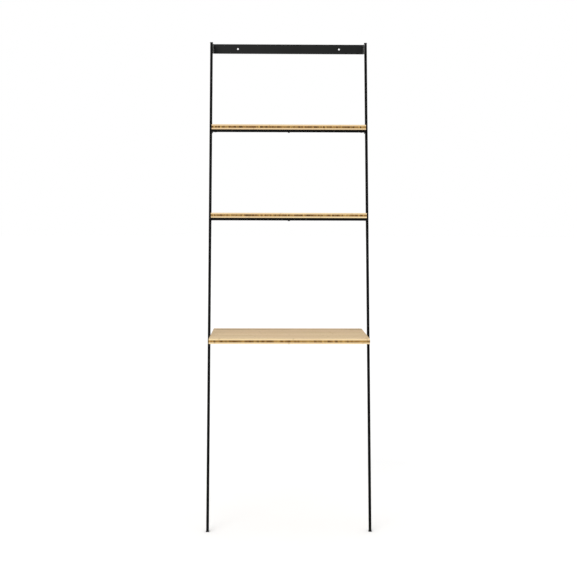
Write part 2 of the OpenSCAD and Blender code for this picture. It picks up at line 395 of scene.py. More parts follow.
@dataclass(frozen=True)
class Bamboo:
    """Glued bamboo strips: long fibres, knuckles, a tone to each strip, and end grain.

    The tone, shift and tint of each strip come from the attribute that its board sets.
    """

    name: str
    grain: Grain
    pale: Colour
    deep: Colour
    warm: Colour
    rind: Colour
    pore: Colour
    end_pale: Colour
    end_deep: Colour
    end_warm: Colour
    shift_reach: float = 3.0
    knuckle_gap: float = 0.27
    knuckle_wander: float = 2.4 * MM
    knuckle_width: float = 5.0 * MM
    knuckle_line: float = 1.1 * MM
    gloss: float = 0.06

    def material(self) -> bpy.types.Material:
        """Makes the finish's material.

        Returns:
            The material.
        """
        tree = Tree(self.name)
        at = tree.split(tree.place())
        mark = tree.node("ShaderNodeAttribute", {"attribute_name": STRIP})
        tone, shift, tint = tree.split(tree.out(mark, "Vector"))
        joint = tree.value(mark, "Alpha")
        along = at[self.grain.value] + shift * self.shift_reach
        wide = at[1 - self.grain.value]
        high = at[2]
        strip = (along, wide, high)

        fibres = tree.drawn(strip, along=9.0, across=1500.0, detail=5.0)
        threads = tree.drawn(strip, along=22.0, across=4200.0)
        streaks = tree.drawn(strip, along=2.4, across=260.0, detail=3.0)
        drift = tree.noise(tree.vector(*at), scale=6.5, detail=3.0)

        toned = {"stops": ((0.0, self.pale), (0.65, self.deep), (1.0, self.rind))}
        body = tree.out(tree.node("ShaderNodeValToRGB", toned, {"Fac": tone}), "Color")
        body = tree.mix(tint * 0.5, body, self.warm)
        body = tree.mix(drift.step(0.35, 0.65) * 0.45, body, self.warm)
        body = tree.mix(streaks.step(0.44, 0.72) * 0.45, body, self.deep)
        body = tree.mix(fibres.step(0.48, 0.74) * 0.5, body, self.deep)
        body = tree.mix(threads.step(0.56, 0.72) * 0.4, body, self.pore)

        wander = (tree.drawn(strip, along=1.0, across=130.0) - 0.5) * self.knuckle_wander
        knuckle = abs(((along + wander) / self.knuckle_gap).fraction() - 0.5) * self.knuckle_gap
        band = knuckle.step(self.knuckle_width, 0.1 * self.knuckle_width) * (0.25 + fibres * 0.3)
        body = tree.mix(band, body, self.deep)
        line = knuckle.step(self.knuckle_line, 0.1 * MM) * (0.2 + fibres * 0.45)
        body = tree.mix(line, body, self.pore)

        ends = self._end_grain(tree, wide, high, tone, tint)
        cut_end = abs(tree.facing()[self.grain.value]).step(0.55, 0.8)
        colour = tree.mix(joint * 0.5, tree.mix(cut_end, body, ends), self.pore)
        relief = fibres * 0.6 + threads * 0.4 - joint
        return tree.finish(
            Base_Color=colour,
            Roughness=0.5 + (streaks - 0.5) * 0.14 + cut_end * 0.14,
            Specular_IOR_Level=self.gloss,
            Normal=tree.bump(relief, 0.05 * MM, 0.3),
        )

    def _end_grain(
        self, tree: Tree, wide: Value, high: Value, tone: Value, tint: Value
    ) -> bpy.types.NodeSocket:
        """The colour of a strip's cut end: dark fibre bundles on a mottled ground.

        Args:
            tree: The material's tree.
            wide: The place across the strips.
            high: The height.
            tone: The strip's own tone.
            tint: How warm the strip is.

        Returns:
            The colour's socket.
        """
        across = tree.vector(wide, 0.0, high)
        patch = tree.noise(across, scale=140.0)
        smear = tree.noise(tree.vector(wide * 900.0, 0.0, high * 260.0), scale=1.0, detail=3.0)
        bundles = tree.dots(across, scale=1150.0)
        ground = tree.mix(tone, self.end_pale, self.end_deep)
        ground = tree.mix(tint * 0.45, ground, self.end_warm)
        ground = tree.mix(patch.step(0.42, 0.66) * 0.4, ground, self.end_deep)
        ground = tree.mix(smear.step(0.5, 0.7) * 0.3, ground, self.end_deep)
        return tree.mix((bundles + patch * 0.3).step(0.46, 0.34) * 0.6, ground, self.pore)


@dataclass(frozen=True)
class BlackOxide:
    """Blackened screws: dark metal with a faint brown bloom and wiped edges."""

    name: str
    colour: Colour = (0.02, 0.02, 0.021)
    bloom: Colour = (0.04, 0.034, 0.03)

    def material(self) -> bpy.types.Material:
        """Makes the finish's material.

        Returns:
            The material.
        """
        tree = Tree(self.name)
        at = tree.place()
        bloom = tree.noise(at, scale=600.0, detail=4.0)
        grit = tree.noise(at, scale=4200.0)
        base = tree.mix(bloom.step(0.45, 0.75) * 0.7, self.colour, self.bloom)
        return tree.finish(
            Base_Color=base,
            Metallic=0.6 + (bloom - 0.5) * 0.4,
            Roughness=0.4 + (grit - 0.5) * 0.22,
            Specular_IOR_Level=0.3,
            Normal=tree.bump(grit, 0.02 * MM, 0.25),
        )


@dataclass(frozen=True)
class ZincPlate:
    """Bright zinc: crystals of slightly different brightness, with drawing marks."""

    name: str
    bright: Colour = (0.56, 0.58, 0.6)
    dull: Colour = (0.38, 0.39, 0.4)

    def material(self) -> bpy.types.Material:
        """Makes the finish's material.

        Returns:
            The material.
        """
        tree = Tree(self.name)
        at = tree.place()
        crystals = tree.dots(at, scale=700.0)
        drawn = tree.drawn(tree.split(at), along=30.0, across=3000.0)
        base = tree.mix(crystals.step(0.1, 0.7), self.bright, self.dull)
        return tree.finish(
            Base_Color=base,
            Metallic=1.0,
            Roughness=0.28 + drawn * 0.16,
            Normal=tree.bump(drawn, 0.02 * MM, 0.2),
        )


@dataclass(frozen=True)
class Nylon:
    """Moulded nylon with a spark-eroded texture, scuffed pale where it meets the floor."""

    name: str
    colour: Colour = (0.012, 0.012, 0.0125)
    scuffed: Colour = (0.05, 0.05, 0.048)
    scuff_height: float = 1.2 * MM

    def material(self) -> bpy.types.Material:
        """Makes the finish's material.

        Returns:
            The material.
        """
        tree = Tree(self.name)
        at = tree.place()
        texture = tree.noise(at, scale=2600.0, detail=3.0)
        patches = tree.noise(at, scale=160.0, detail=4.0)
        low = tree.split(at)[2].step(self.scuff_height, 0.0)
        base = tree.mix(patches.step(0.4, 0.75) * 0.3, self.colour, self.scuffed)
        base = tree.mix(low * patches.step(0.35, 0.6) * 0.8, base, self.scuffed)
        return tree.finish(
            Base_Color=base,
            Roughness=0.6 + (texture - 0.5) * 0.2,
            Specular_IOR_Level=0.22,
            Normal=tree.bump(texture, 0.04 * MM, 0.4),
        )


@dataclass(frozen=True)
class StudioFloor:
    """Pale matt floor paint with the faintest mottling."""

    name: str = "studio_floor"
    pale: Colour = (0.93, 0.93, 0.93)
    mottled: Colour = (0.9, 0.9, 0.9)

    def material(self) -> bpy.types.Material:
        """Makes the finish's material.

        Returns:
            The material.
        """
        tree = Tree(self.name)
        mottle = tree.noise(tree.place(), scale=3.0, detail=3.0)
        base = tree.mix(mottle, self.pale, self.mottled)
        return tree.finish(Base_Color=base, Roughness=0.9, Specular_IOR_Level=0.0)


class Paints:
    """Every material of the object, one for each slot."""

    def __init__(self) -> None:
        """Makes the materials."""
        face = Bamboo(
            "bamboo_face",
            Grain.ACROSS,
            pale=(0.7, 0.55, 0.325),
            deep=(0.47, 0.34, 0.175),
            warm=(0.6, 0.425, 0.255),
            rind=(0.27, 0.183, 0.087),
            pore=(0.27, 0.165, 0.07),
            end_pale=(0.66, 0.5, 0.27),
            end_deep=(0.44, 0.3, 0.13),
            end_warm=(0.56, 0.38, 0.19),
        )
        core = Bamboo(
            "bamboo_core",
            Grain.DEPTH,
            pale=(0.42, 0.27, 0.1),
            deep=(0.26, 0.15, 0.05),
            warm=(0.38, 0.22, 0.08),
            rind=(0.14, 0.075, 0.022),
            pore=(0.055, 0.025, 0.008),
            end_pale=(0.46, 0.29, 0.09),
            end_deep=(0.08, 0.038, 0.01),
            end_warm=(0.33, 0.16, 0.045),
        )
        self.by_slot = {
            Slot.STEEL: PowderCoat("powder_coat", (0.0014, 0.0014, 0.0015), gloss=0.05).material(),
            Slot.BAMBOO_FACE: face.material(),
            Slot.BAMBOO_CORE: core.material(),
            Slot.SCREWS: BlackOxide("black_hardware").material(),
            Slot.ZINC: ZincPlate("zinc_hardware").material(),
            Slot.NYLON: Nylon("black_plastic").material(),
        }
        # The broad plate's coat: the black paint is painted lighter here, as a painted highlight for
        # the light that the plate catches, with a painted sheen on its inward faces; its finish is
        # also smoother.
        painted_lit_coat = PowderCoat(
            "powder_coat_painted_lit", (0.0025, 0.003, 0.0028), roughness=0.3, gloss=0.17, painted_sheen=1.0
        )
        self.painted_lit_coat = painted_lit_coat.material()

    def cover(self, thing: bpy.types.Object, slot: Slot, painted_lit_coat: bool = False) -> None:
        """Gives a mesh its slot's material, or the broad plate's smoother coat, which is painted
        lighter with a painted sheen.
        """
        thing.data.materials.clear()
        thing.data.materials.append(self.painted_lit_coat if painted_lit_coat else self.by_slot[slot])


# ---- Modelling ----


class Piece:
    """A mesh that is shaped step by step with Blender's own operators."""

    def __init__(self, thing: bpy.types.Object, name: str) -> None:
        """Takes over an object and names it.

        Args:
            thing: A mesh object.
            name: The piece's name.
        """
        self.thing = thing
        thing.name = name
        thing.data.name = name

    @classmethod
    def block(cls, name: str, low: Vector, high: Vector) -> "Piece":
        """A box between two corners.

        Args:
            name: The piece's name.
            low: Its lowest corner.
            high: Its highest corner.

        Returns:
            The new piece, with its place in its mesh.
        """
        leave_all()
        bpy.ops.mesh.primitive_cube_add(size=1.0, location=(low + high) / 2, scale=high - low)
        return cls(bpy.context.object, name).settle()

    @classmethod
    def rod(cls, name: str, radius: float, low: float, high: float, sides: int) -> "Piece":
        """An upright rod on the Z axis.

        Args:
            name: The piece's name.
            radius: Its radius.
            low: The height of its lower end.
            high: The height of its upper end.
            sides: How many sides it has.

        Returns:
            The new piece, with its place in its mesh.
        """
        leave_all()
        bpy.ops.mesh.primitive_cylinder_add(
            vertices=sides, radius=radius, depth=high - low, location=(0.0, 0.0, (low + high) / 2)
        )
        return cls(bpy.context.object, name).settle()

    @classmethod
    def twin(cls, thing: bpy.types.Object, name: str) -> "Piece":
        """A copy of an object, with its own mesh.

        Args:
            thing: The object.
            name: The copy's name.

        Returns:
            The copy, at the origin.
        """
        made = bpy.data.objects.new(name, thing.data.copy())
        bpy.context.scene.collection.objects.link(made)
        return cls(made, name)

    @classmethod
    def from_node(cls, node: str, name: str) -> "Piece":
        """A copy of a CAD node's mesh, with its loose triangles merged into flat faces.

        Args:
            node: The CAD node.
            name: The piece's name.

        Returns:
            The new piece.
        """
        piece = cls.twin(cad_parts[node], name)
        piece.hold()
        bpy.ops.mesh.customdata_custom_splitnormals_clear()
        piece.pick("FACE", "SELECT")
        bpy.ops.mesh.remove_doubles(threshold=0.001 * MM)
        bpy.ops.mesh.dissolve_limited(angle_limit=math.radians(1.0))
        return piece.rest()

    def settle(self) -> "Piece":
        """Puts a new primitive's place and size into its mesh."""
        bpy.ops.object.transform_apply(location=True, rotation=True, scale=True)
        return self

    def hold(self) -> None:
        """Makes this the only selected and active object."""
        leave_all()
        self.thing.select_set(True)
        bpy.context.view_layer.objects.active = self.thing

    def pick(self, kind: str, action: str = "DESELECT") -> bmesh.types.BMesh:
        """Goes to edit mode with all or none of the mesh selected.

        Args:
            kind: FACE or EDGE.
            action: SELECT or DESELECT.

        Returns:
            The mesh that is being edited.
        """
        self.hold()
        bpy.ops.object.mode_set(mode="EDIT")
        bpy.ops.mesh.select_mode(type=kind)
        bpy.ops.mesh.select_all(action=action)
        return bmesh.from_edit_mesh(self.thing.data)

    def pick_faces(self, where: Place) -> None:
        """Selects faces for the next edit.

        Args:
            where: A test on a face's centre and normal.
        """
        for face in self.pick("FACE").faces:
            face.select_set(where(face.calc_center_median(), face.normal))
        bmesh.update_edit_mesh(self.thing.data)

    def pick_edges(self, where: Place) -> None:
        """Selects edges for the next edit.

        Args:
            where: A test on an edge's middle and its direction.
        """
        for edge in self.pick("EDGE").edges:
            first, second = (vertex.co for vertex in edge.verts)
            edge.select_set(where((first + second) / 2, (second - first).normalized()))
        bmesh.update_edit_mesh(self.thing.data)

    def extrude(self, rise: float) -> None:
        """Extrudes what is selected along Z."""
        bpy.ops.mesh.extrude_region_move(TRANSFORM_OT_translate={"value": (0.0, 0.0, rise)})

    def scale(self, x: float, y: float, height: float) -> None:
        """Scales what is selected towards the point on the Z axis at that height."""
        bpy.ops.transform.resize(value=(x, y, 1.0), center_override=(0.0, 0.0, height))

    def bevel(self, radius: float, segments: int) -> "Piece":
        """Rounds what is selected, and goes back to object mode."""
        bpy.ops.mesh.bevel(offset=radius, segments=segments, affect="EDGES", clamp_overlap=True)
        return self.rest()

    def rest(self) -> "Piece":
        """Goes back to object mode."""
        bpy.ops.object.mode_set(mode="OBJECT")
        return self

    def ease(self, where: Place, radius: float, segments: int) -> "Piece":
        """Rounds edges.

        Args:
            where: A test on an edge's middle and its direction.
            radius: The width that the rounding takes from each face.
            segments: How many faces the rounding has.

        Returns:
            The piece itself.
        """
        self.pick_edges(where)
        return self.bevel(radius, segments)

    def ease_sharp(self, radius: float, segments: int, angle: float = 35.0) -> "Piece":
        """Rounds every sharp edge.

        Args:
            radius: The width that the rounding takes from each face.
            segments: How many faces the rounding has.
            angle: The least turn of a sharp edge, in degrees.

        Returns:
            The piece itself.
        """
        self.pick("EDGE")
        bpy.ops.mesh.edges_select_sharp(sharpness=math.radians(angle))
        return self.bevel(radius, segments)

    def draw_out(self, where: Place, inset: float, rise: float) -> "Piece":
        """Insets some faces and extrudes what is inside along Z.

        Args:
            where: A test on a face's centre and normal.
            inset: How far the inset goes in.
            rise: How far up the extrusion goes.

        Returns:
            The piece itself.
        """
        self.pick_faces(where)
        bpy.ops.mesh.inset(thickness=inset)
        self.extrude(rise)
        return self.rest()

    def slice_at(self, point: Vector, normal: Vector) -> "Piece":
        """Cuts every face along a plane, and keeps both halves joined.

        Args:
            point: A point on the plane.
            normal: The plane's normal.

        Returns:
            The piece itself.
        """
        self.pick("FACE", "SELECT")
        bpy.ops.mesh.bisect(plane_co=point, plane_no=normal)
        return self.rest()

    def groove(self, low: float, high: float, pitch: float, radius: float, root: float) -> "Piece":
        """Turns a smooth rod along Z into a ringed one, like a thread or a barbed plug.

        Args:
            low: The height where the rings start.
            high: The height where they end.
            pitch: The distance between rings.
            radius: The rod's radius, or half its width.
            root: The share of the width that is left between rings.

        Returns:
            The piece itself.
        """
        count = max(2, round((high - low) / pitch))
        step = (high - low) / count
        axis = Vector((0.0, 0.0, 1.0))
        for index in range(2 * count + 1):
            self.slice_at(Vector((0.0, 0.0, low + index * step / 2)), axis)
        near = 1.2 * radius
        for index in range(count):
            height = low + (index + 0.5) * step
            self.pick_edges(
                lambda middle, along: abs(middle.z - height) < 0.01 * step
                and abs(along.z) < 0.1
                and math.hypot(middle.x, middle.y) < near
            )
            self.scale(root, root, height)
            self.rest()
        return self

    def cut_with(self, tool: "Piece") -> "Piece":
        """Subtracts another piece, and removes it.

        Args:
            tool: The other piece.

        Returns:
            The piece itself.
        """
        self.change("BOOLEAN", operation="DIFFERENCE", object=tool.thing, solver="EXACT")
        bpy.data.objects.remove(tool.thing)
        return self

    def change(self, kind: str, **settings: Any) -> "Piece":
        """Adds a modifier and applies it.

        Args:
            kind: The modifier's type.
            settings: Its properties.

        Returns:
            The piece itself.
        """
        self.hold()
        modifier = self.thing.modifiers.new(kind.lower(), kind)
        for key, setting in settings.items():
            setattr(modifier, key, setting)
        bpy.ops.object.modifier_apply(modifier=modifier.name)
        return self

    def move(self, placing: Matrix) -> "Piece":
        """Moves the mesh itself, so that the object stays at the origin."""
        self.thing.data.transform(placing)
        return self

    def copy(self, placing: Matrix) -> "Piece":
        """A copy with its own mesh, moved."""
        return Piece.twin(self.thing, self.thing.name).move(placing)

    def spread(self, placings: Iterable[Matrix], name: str) -> "Piece":
        """Copies the piece to several places, joins the copies and removes the pattern.

        Args:
            placings: Where each copy goes.
            name: The joined piece's name.

        Returns:
            The joined piece.
        """
        copies = [self.copy(placing) for placing in placings]
        bpy.data.objects.remove(self.thing)
        return Piece.joined(copies, name)

    @classmethod
    def joined(cls, parts: Sequence["Piece"], name: str) -> "Piece":
        """Joins several pieces.

        Args:
            parts: The pieces.
            name: The joined piece's name.

        Returns:
            The joined piece.
        """
        parts[0].hold()
        for part in parts[1:]:
            part.thing.select_set(True)
        if len(parts) > 1:
            bpy.ops.object.join()
        return cls(parts[0].thing, name)

    def smooth(self, angle: float = 35.0) -> "Piece":
        """Shades the piece smooth, with flat faces kept flat.

        Args:
            angle: The least turn of an edge that stays sharp, in degrees.

        Returns:
            The piece itself.
        """
        self.hold()
        bpy.ops.object.shade_smooth_by_angle(angle=math.radians(angle))
        return self.change("WEIGHTED_NORMAL", keep_sharp=True, mode="FACE_AREA_WITH_ANGLE")

    def dress(self, paints: Paints, slot: Slot, *stands_for: str) -> None:
        """Paints the piece and sets it in the frame.

        Args:
            paints: The object's materials.
            slot: The slot that the piece takes its finish from.
            stands_for: The CAD nodes that it replaces.
        """
        paints.cover(self.thing, slot)
        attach(self.thing, BODY)
        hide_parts(*stands_for)
        faces = len(self.thing.data.polygons)
        log.info("%s: %d faces, for %s", self.thing.name, faces, ", ".join(stands_for))


def leave_all() -> None:
    """Goes to object mode with nothing selected."""
    if bpy.context.object and bpy.context.object.mode != "OBJECT":
        bpy.ops.object.mode_set(mode="OBJECT")
    bpy.ops.object.select_all(action="DESELECT")


def turned(place: Sequence[float], angle: float = 0.0, axis: str = "Z") -> Matrix:
    """A turn about an axis, in degrees, and then a move."""
    return Matrix.Translation(place) @ Matrix.Rotation(math.radians(angle), 4, axis)


# ---- Boards ----


@dataclass
class BambooBoard:
    """A three-ply panel: pale strips run across its faces, and darker slats fill its core."""

    node: str
    name: str
    seed: int
    # Chosen strip tones by share of depth; the front strip's pale tone is a painted highlight along
    # the front edge.
    chosen_tones: tuple[tuple[float, float], ...] = ((0.0, 0.0),)
    face_ply: float = 5.5 * MM
    strip_widths: tuple[float, float] = (17.0 * MM, 23.0 * MM)
    slat_widths: tuple[float, float] = (3.8 * MM, 8.0 * MM)
    face_tones: float = 0.6
    core_tones: float = 1.0
    dark_share: float = 0.2
    arris: float = 0.9 * MM
    slat_ease: float = 0.25 * MM
    slat_joint: float = 0.06 * MM
    glue_line: float = 0.25 * MM
    dice: random.Random = field(init=False)

    def __post_init__(self) -> None:
        """Starts the board's own random draws and finds its room."""
        self.dice = random.Random(self.seed)
        self.low, self.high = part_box(self.node)

    def build(self, paints: Paints) -> None:
        """Models and dresses the three layers.

        Args:
            paints: The object's materials.
        """
        lower = self.low.z + self.face_ply
        upper = self.high.z - self.face_ply
        bottom = self._face_ply(f"{self.name}_bottom_ply", self.low.z, lower, self.low.z)
        bottom.dress(paints, Slot.BAMBOO_FACE, self.node)
        self._core(lower, upper).dress(paints, Slot.BAMBOO_CORE, self.node)
        top = self._face_ply(f"{self.name}_top_ply", upper, self.high.z, self.high.z)
        top.dress(paints, Slot.BAMBOO_FACE, self.node)

    def _face_ply(self, name: str, low_z: float, high_z: float, outside: float) -> Piece:
        """One face layer, with rounded outer edges.

        Args:
            name: The piece's name.
            low_z: The height of its underside.
            high_z: The height of its top.
            outside: The height of its outer face.

        Returns:
            The finished piece.
        """
        low = Vector((self.low.x, self.low.y, low_z))
        high = Vector((self.high.x, self.high.y, high_z))
        ply = Piece.block(name, low, high)
        ply.ease(lambda middle, along: abs(along.z) > 0.9, self.arris, 4)
        ply.ease(lambda middle, along: abs(middle.z - outside) < ON_PLANE, self.arris, 4)
        cuts = self._cuts(self.low.y, self.high.y, *self.strip_widths)
        for cut in cuts:
            for edge in (cut - self.glue_line / 2, cut + self.glue_line / 2):
                ply.slice_at(Vector((0.0, edge, 0.0)), Vector((0.0, 1.0, 0.0)))
        ply.smooth()
        self._mark_strips(ply, 1, cuts, self.face_tones, self._chosen_strips(cuts))
        return ply

    def _core(self, low_z: float, high_z: float) -> Piece:
        """The core: slats that run from front to back, each with slightly eased ends.

        Args:
            low_z: The height of its underside.
            high_z: The height of its top.

        Returns:
            The finished piece.
        """
        cuts = self._cuts(self.low.x, self.high.x, *self.slat_widths)
        edges = [self.low.x, *cuts, self.high.x]
        slats = []
        for left, right in zip(edges, edges[1:]):
            low = Vector((left + self.slat_joint / 2, self.low.y, low_z))
            high = Vector((right - self.slat_joint / 2, self.high.y, high_z))
            if left == self.low.x:
                low.x = left
            if right == self.high.x:
                high.x = right
            slat = Piece.block("slat", low, high)
            slat.ease(lambda middle, along: abs(along.y) < 0.1, self.slat_ease, 2)
            slats.append(slat)
        core = Piece.joined(slats, f"{self.name}_core").smooth()
        strips = range(len(cuts) + 1)
        dark = {index: 1.0 for index in strips if self.dice.random() < self.dark_share}
        self._mark_strips(core, 0, cuts, self.core_tones, dark)
        return core

    def _cuts(self, start: float, end: float, least: float, most: float) -> list[float]:
        """Draws uneven places between two ends.

        Args:
            start: The first end.
            end: The last end.
            least: The least distance between places.
            most: The greatest distance between places, the last one apart.

        Returns:
            The places, in order.
        """
        cuts = []
        place = start + self.dice.uniform(least, most)
        while place < end - least:
            cuts.append(place)
            place += self.dice.uniform(least, most)
        return cuts

    def _chosen_strips(self, cuts: list[float]) -> dict[int, float]:
        """Finds the strips whose tone is chosen, by the shares of the depth where they lie.

        Args:
            cuts: The places between strips.

        Returns:
            The tone of each such strip, by its index.
        """
        depth = self.high.y - self.low.y
        places = [(self.low.y + share * depth, tone) for share, tone in self.chosen_tones]
        return {bisect.bisect(cuts, place): tone for place, tone in places}

    def _mark_strips(
        self, piece: Piece, axis: int, cuts: list[float], spread: float, chosen: dict[int, float]
    ) -> None:
        """Writes each strip's tone, shift and tint on its faces, and marks the glue lines.

        Args:
            piece: The layer.
            axis: The axis that the strips lie side by side along.
            cuts: The places between strips.
            spread: How far the common tones go from pale, at 0, to rind, at 1.
            chosen: The tones of the strips that aren't left to chance.
        """
        draws = [[self.dice.random() for _ in range(3)] for _ in range(len(cuts) + 1)]
        mesh = piece.thing.data
        marks = mesh.attributes.new(STRIP, "FLOAT_COLOR", "FACE")
        for polygon in mesh.polygons:
            place = polygon.center[axis]
            index = bisect.bisect(cuts, place)
            tone, shift, tint = draws[index]
            tone = chosen.get(index, spread * tone)
            joint = any(abs(place - cut) < 0.4 * self.glue_line for cut in cuts)
            marks.data[polygon.index].color = (tone, shift, tint, float(joint))


# ---- Screws and bolts ----


@dataclass
class ButtonBolt:
    """A button-head machine bolt, upright, with the underside of its head at the origin."""

    head_radius: float = 4.75 * MM
    head_height: float = 2.75 * MM
    shank_radius: float = 2.5 * MM
    shank_length: float = 11.0 * MM
    crown: float = 2.2 * MM
    plain_length: float = 3.2 * MM
    pitch: float = 0.8 * MM
    root: float = 0.86
    key_size: float = 3.0 * MM
    key_floor: float = 1.1 * MM
    rim_ease: float = 0.15 * MM

    def model(self) -> Piece:
        """Models one bolt whose head points up.

        Returns:
            The finished bolt.
        """
        bolt = Piece.rod("bolt", self.head_radius, 0.0, self.head_height, 48)
        bolt.ease(lambda middle, along: middle.z > 0.99 * self.head_height, self.crown, 7)
        ledge = self.head_radius - self.shank_radius
        bolt.draw_out(lambda centre, normal: normal.z < -0.9, ledge, -self.shank_length)
        bolt.groove(-self.shank_length, -self.plain_length, self.pitch, self.shank_radius, self.root)
        bolt.cut_with(hex_key(self.key_size, self.key_floor, self.head_height))
        return bolt.ease(self._on_rim, self.rim_ease, 2).smooth(40.0)

    def _on_rim(self, middle: Vector, along: Vector) -> bool:
        """Whether an edge is on the rim under the head."""
        flat = abs(along.z) < 0.1 and abs(middle.z) < ON_PLANE
        return flat and math.hypot(middle.x, middle.y) > 0.95 * self.head_radius


@dataclass
class CountersunkScrew:
    """A countersunk machine screw, upright, with its flat head facing up at the origin."""

    head_radius: float = 3.9 * MM
    rim: float = 0.3 * MM
    cone: float = 2.0 * MM
    neck: float = 0.4 * MM
    shank_radius: float = 2.0 * MM
    length: float = 14.0 * MM
    pitch: float = 0.7 * MM
    root: float = 0.85
    key_size: float = 2.5 * MM
    key_depth: float = 1.5 * MM

    def model(self) -> Piece:
        """Models one screw whose head points up.

        Returns:
            The finished screw.
        """
        screw = Piece.rod("screw", self.head_radius, -self.rim, 0.0, 48)
        screw.pick_faces(lambda centre, normal: normal.z < -0.9)
        screw.extrude(self.rim - self.cone)
        share = self.shank_radius / self.head_radius
        screw.scale(share, share, -self.cone)
        screw.extrude(self.cone - self.length)
        screw.rest()
        screw.groove(-self.length, -self.cone - self.neck, self.pitch, self.shank_radius, self.root)
        screw.cut_with(hex_key(self.key_size, -self.key_depth, 0.0))
        return screw.smooth(40.0)


@dataclass
class BoardScrew:
    """A pan-head wood screw, upright and point up, with its head's bearing face at the origin."""

    head_radius: float = 4.0 * MM
    head_height: float = 2.2 * MM
    crown: float = 1.1 * MM
    shank_radius: float = 2.0 * MM
    root: float = 0.68
    tip_length: float = 3.0 * MM
    tip_share: float = 0.12
    plain_share: float = 0.25
    pitch: float = 1.6 * MM
    recess_width: float = 4.4 * MM
    recess_slot: float = 0.9 * MM
    recess_depth: float = 1.4 * MM
    recess_taper: tuple[float, float] = (0.4, 0.7)
    overcut: float = 0.5 * MM

    def model(self, length: float) -> Piece:
        """Models one screw.

        Args:
            length: From under its head to its point.

        Returns:
            The finished screw.
        """
        screw = Piece.rod("wood_screw", self.head_radius, -self.head_height, 0.0, 32)
        screw.ease(lambda middle, along: middle.z < -0.99 * self.head_height, self.crown, 5)
        body = length - self.tip_length
        ledge = self.head_radius - self.shank_radius
        screw.draw_out(lambda centre, normal: normal.z > 0.9, ledge, body)
        screw.pick_faces(lambda centre, normal: normal.z > 0.9 and centre.z > 0.9 * body)
        screw.extrude(self.tip_length)
        screw.scale(self.tip_share, self.tip_share, length)
        screw.rest()
        screw.groove(self.plain_share * body, body, self.pitch, self.shank_radius, self.root)
        for angle in (0.0, 90.0):
            screw.cut_with(self._blade(angle))
        return screw.smooth(40.0)

    def _blade(self, angle: float) -> Piece:
        """Makes a tool for one tapered arm of the cross recess.

        Args:
            angle: The arm's turn about the screw's axis, in degrees.

        Returns:
            The tool.
        """
        half = Vector((self.recess_width / 2, self.recess_slot / 2, 0.0))
        low = Vector((-half.x, -half.y, -self.head_height - self.overcut))
        high = Vector((half.x, half.y, self.recess_depth - self.head_height))
        blade = Piece.block("blade", low, high)
        blade.pick_faces(lambda centre, normal: normal.z > 0.9)
        blade.scale(*self.recess_taper, high.z)
        return blade.rest().move(turned((0.0, 0.0, 0.0), angle))


def hex_key(across: float, low: float, high: float) -> Piece:
    """A tool for cutting a hexagonal socket from low up to the head's top at high, and past it."""
    return Piece.rod("key", across / math.sqrt(3.0), low, high + 1.0 * MM, 6)


# ---- Levels ----


@dataclass
class Level:
    """One board with its rails, arms and screws, by the prefix of their CAD nodes."""

    prefix: str
    board: BambooBoard
    rails: tuple[str, ...] = ("front_rail",)
    plate_ease: float = 0.3 * MM
    plate: float = 3.0 * MM
    wood_bite: float = 14.0 * MM
    end_gap: float = 14.0 * MM
    cross_turn: float = 31.0
    rail_cross_turn: float = 17.0

    def node(self, part: str) -> str:
        """The full name of one of the level's CAD nodes."""
        return f"{self.prefix}_{part}"

    def build(self, paints: Paints) -> None:
        """Models what is new in the level, and paints what is kept.

        Args:
            paints: The object's materials.
        """
        self.board.build(paints)
        for side in Side:
            arm = self.node(f"{side.name.lower()}_arm")
            steel = Piece.from_node(arm, f"{arm}_pressed")
            steel.ease_sharp(self.plate_ease, 2).smooth()
            steel.dress(paints, Slot.STEEL, arm)
        self._rail_screws(paints)
        self._board_screws(paints)
        for rail in self.rails:
            paints.cover(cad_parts[self.node(rail)], Slot.STEEL)
        paints.cover(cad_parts[self.node("rail_plugs")], Slot.ZINC)

    def _rail_lines(self) -> list[tuple[float, float]]:
        """Finds the rails' centre lines.

        Returns:
            The depth and height of each.
        """
        lines = []
        for rail in self.rails:
            low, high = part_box(self.node(rail))
            lines.append(((low.y + high.y) / 2, (low.z + high.z) / 2))
        return lines

    def _rail_screws(self, paints: Paints) -> None:
        """Puts a countersunk screw through each arm into each rail's end.

        Args:
            paints: The object's materials.
        """
        node = self.node("rail_screws")
        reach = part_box(node)[1].x
        placings = [
            turned((side.value * reach, y, z), side.value * 90.0, "Y")
            for side in Side
            for y, z in self._rail_lines()
        ]
        screws = CountersunkScrew().model().spread(placings, f"{self.prefix}_flat_head_screws")
        screws.dress(paints, Slot.SCREWS, node)

    def _board_screws(self, paints: Paints) -> None:
        """Puts wood screws up through the arms and through the middle of each rail.

        Args:
            paints: The object's materials.
        """
        node = self.node("board_screws")
        low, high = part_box(self.node("right_arm"))
        lines = self._rail_lines()
        tube = 2 * (high.z - lines[0][1])
        near = lines[0][0] + tube / 2 + self.end_gap
        far = high.y - self.end_gap
        if len(lines) > 1:
            far -= tube
        across = (low.x + high.x - self.plate) / 2
        under = high.z - self.plate
        in_arms = [
            turned((side.value * across, y, under), self.cross_turn * (index + side.value))
            for side in Side
            for index, y in enumerate((near, far))
        ]
        in_rails = [turned((0.0, y, high.z - tube), self.rail_cross_turn) for y, _ in lines]
        screw = BoardScrew()
        short = screw.model(self.wood_bite + self.plate).spread(in_arms, "arm_screws")
        long = screw.model(self.wood_bite + tube).spread(in_rails, "rail_screws")
        both = Piece.joined([short, long], f"{self.prefix}_pan_head_screws")
        both.dress(paints, Slot.SCREWS, node)


# ---- Posts and wall bracket ----


